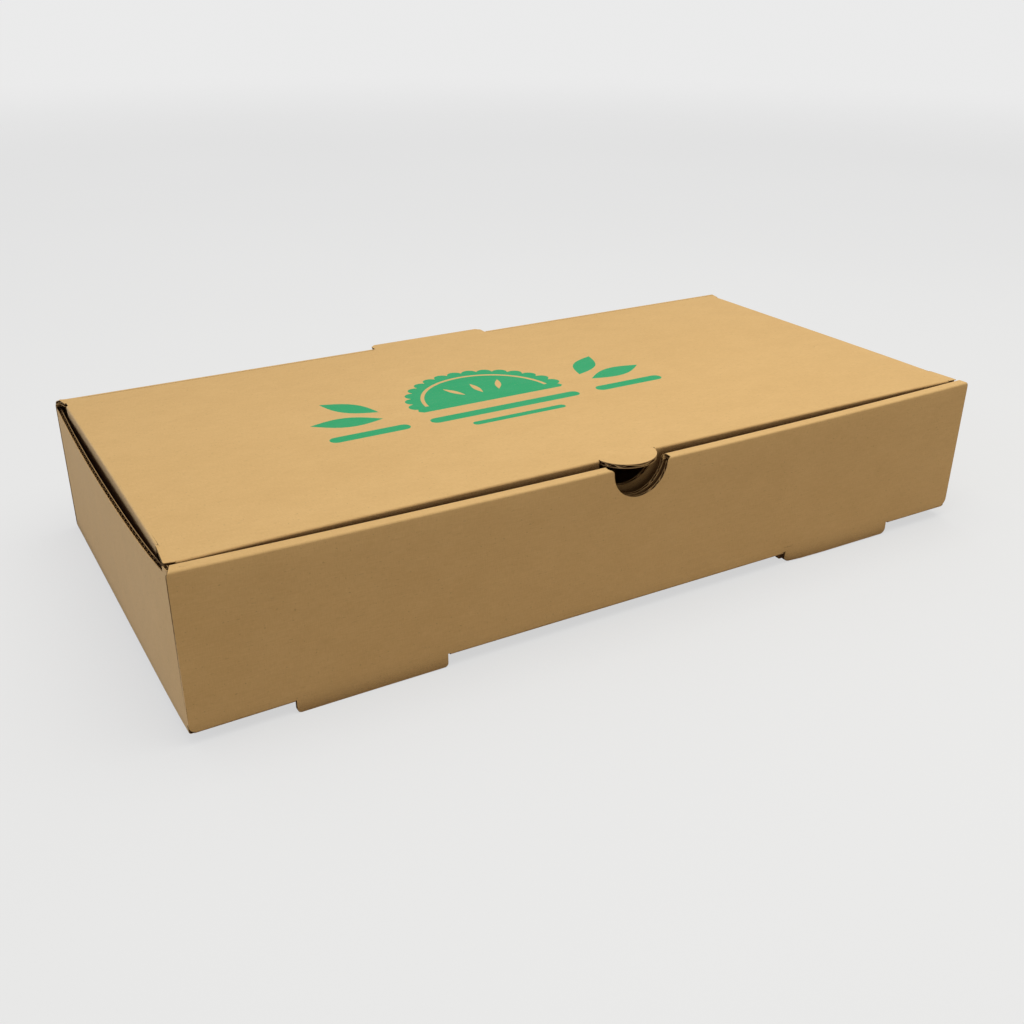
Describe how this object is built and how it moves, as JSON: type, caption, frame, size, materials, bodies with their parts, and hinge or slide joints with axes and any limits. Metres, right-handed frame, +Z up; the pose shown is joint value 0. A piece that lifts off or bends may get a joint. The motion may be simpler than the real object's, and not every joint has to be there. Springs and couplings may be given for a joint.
{
  "type": "calzone box",
  "caption": "Shallow kraft corrugated carton with a hinged lid, rolled front wall, finger notch, thumb tab, locking feet and rear vent tongue, for a folded pizza.",
  "frame": {"origin": "centre of the underside of the base panel", "axes": "+X to the right along the width, +Y from the front wall to the hinge, +Z up out of the tray"},
  "size_m": [0.33, 0.1748, 0.0609],
  "materials": {
    "tray_board": "matte kraft liner",
    "lid_board": "matte kraft liner"
  },
  "bodies": {
    "tray": {"tray": "tray_board"},
    "lid": {"lid": "lid_board"}
  },
  "joints": [
    {"name": "lid_hinge", "type": "hinge", "parent": "tray", "child": "lid", "pos_m": [0, 0.08, 0.0567], "axis": [-1, 0, 0], "range_deg": [0, 180]}
  ]
}
